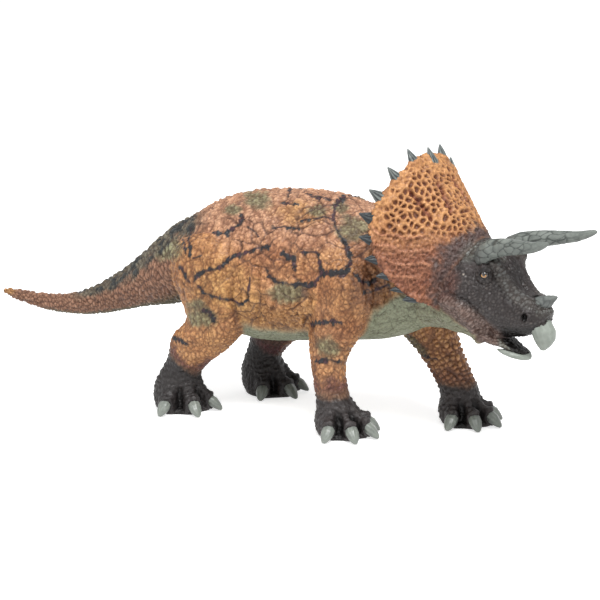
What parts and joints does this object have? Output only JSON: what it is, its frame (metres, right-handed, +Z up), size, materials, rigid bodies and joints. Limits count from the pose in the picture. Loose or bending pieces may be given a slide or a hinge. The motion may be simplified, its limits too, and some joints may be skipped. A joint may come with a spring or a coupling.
{
  "type": "toy dinosaur figure",
  "caption": "Toy figure of a walking horned dinosaur with a spiked neck frill, brow and nose horns, a beak, nailed feet and a tapering tail, standing on flat soles.",
  "frame": {"origin": "on the ground under the middle of the figure's box", "axes": "+X towards the snout, +Y towards the figure's left side, +Z up"},
  "size_m": [0.294, 0.077, 0.1188],
  "materials": {
    "orange_skin": "satin matt soft plastic, orange tan with painted patches",
    "dark_head_skin": "satin matt soft plastic, charcoal",
    "grey_horn": "semi-gloss hard plastic, grey green",
    "amber_eye": "glossy painted amber"
  },
  "bodies": {
    "root": {"torso": "orange_skin", "tail": "orange_skin", "frill": "orange_skin", "fore_leg_right": "orange_skin", "fore_leg_left": "orange_skin", "hind_leg_right": "orange_skin", "hind_leg_left": "orange_skin", "head": "dark_head_skin", "lower_jaw": "dark_head_skin", "upper_beak": "grey_horn", "lower_beak": "grey_horn", "nose_horn": "grey_horn", "brow_horn_right": "grey_horn", "brow_horn_left": "grey_horn", "eye_right": "amber_eye", "eye_left": "amber_eye", "fore_nail_right_1": "grey_horn", "fore_nail_right_2": "grey_horn", "fore_nail_right_3": "grey_horn", "fore_nail_right_4": "grey_horn", "fore_nail_right_5": "grey_horn", "fore_nail_left_1": "grey_horn", "fore_nail_left_2": "grey_horn", "fore_nail_left_3": "grey_horn", "fore_nail_left_4": "grey_horn", "fore_nail_left_5": "grey_horn", "hind_nail_right_1": "grey_horn", "hind_nail_right_2": "grey_horn", "hind_nail_right_3": "grey_horn", "hind_nail_right_4": "grey_horn", "hind_nail_left_1": "grey_horn", "hind_nail_left_2": "grey_horn", "hind_nail_left_3": "grey_horn", "hind_nail_left_4": "grey_horn", "frill_spike_middle": "grey_horn", "frill_spike_right_1": "grey_horn", "frill_spike_right_2": "grey_horn", "frill_spike_right_3": "grey_horn", "frill_spike_right_4": "grey_horn", "frill_spike_right_5": "grey_horn", "frill_spike_right_6": "grey_horn", "frill_spike_right_7": "grey_horn", "frill_spike_right_8": "grey_horn", "frill_spike_right_9": "grey_horn", "frill_spike_left_1": "grey_horn", "frill_spike_left_2": "grey_horn", "frill_spike_left_3": "grey_horn", "frill_spike_left_4": "grey_horn", "frill_spike_left_5": "grey_horn", "frill_spike_left_6": "grey_horn", "frill_spike_left_7": "grey_horn", "frill_spike_left_8": "grey_horn", "frill_spike_left_9": "grey_horn"}
  },
  "joints": []
}
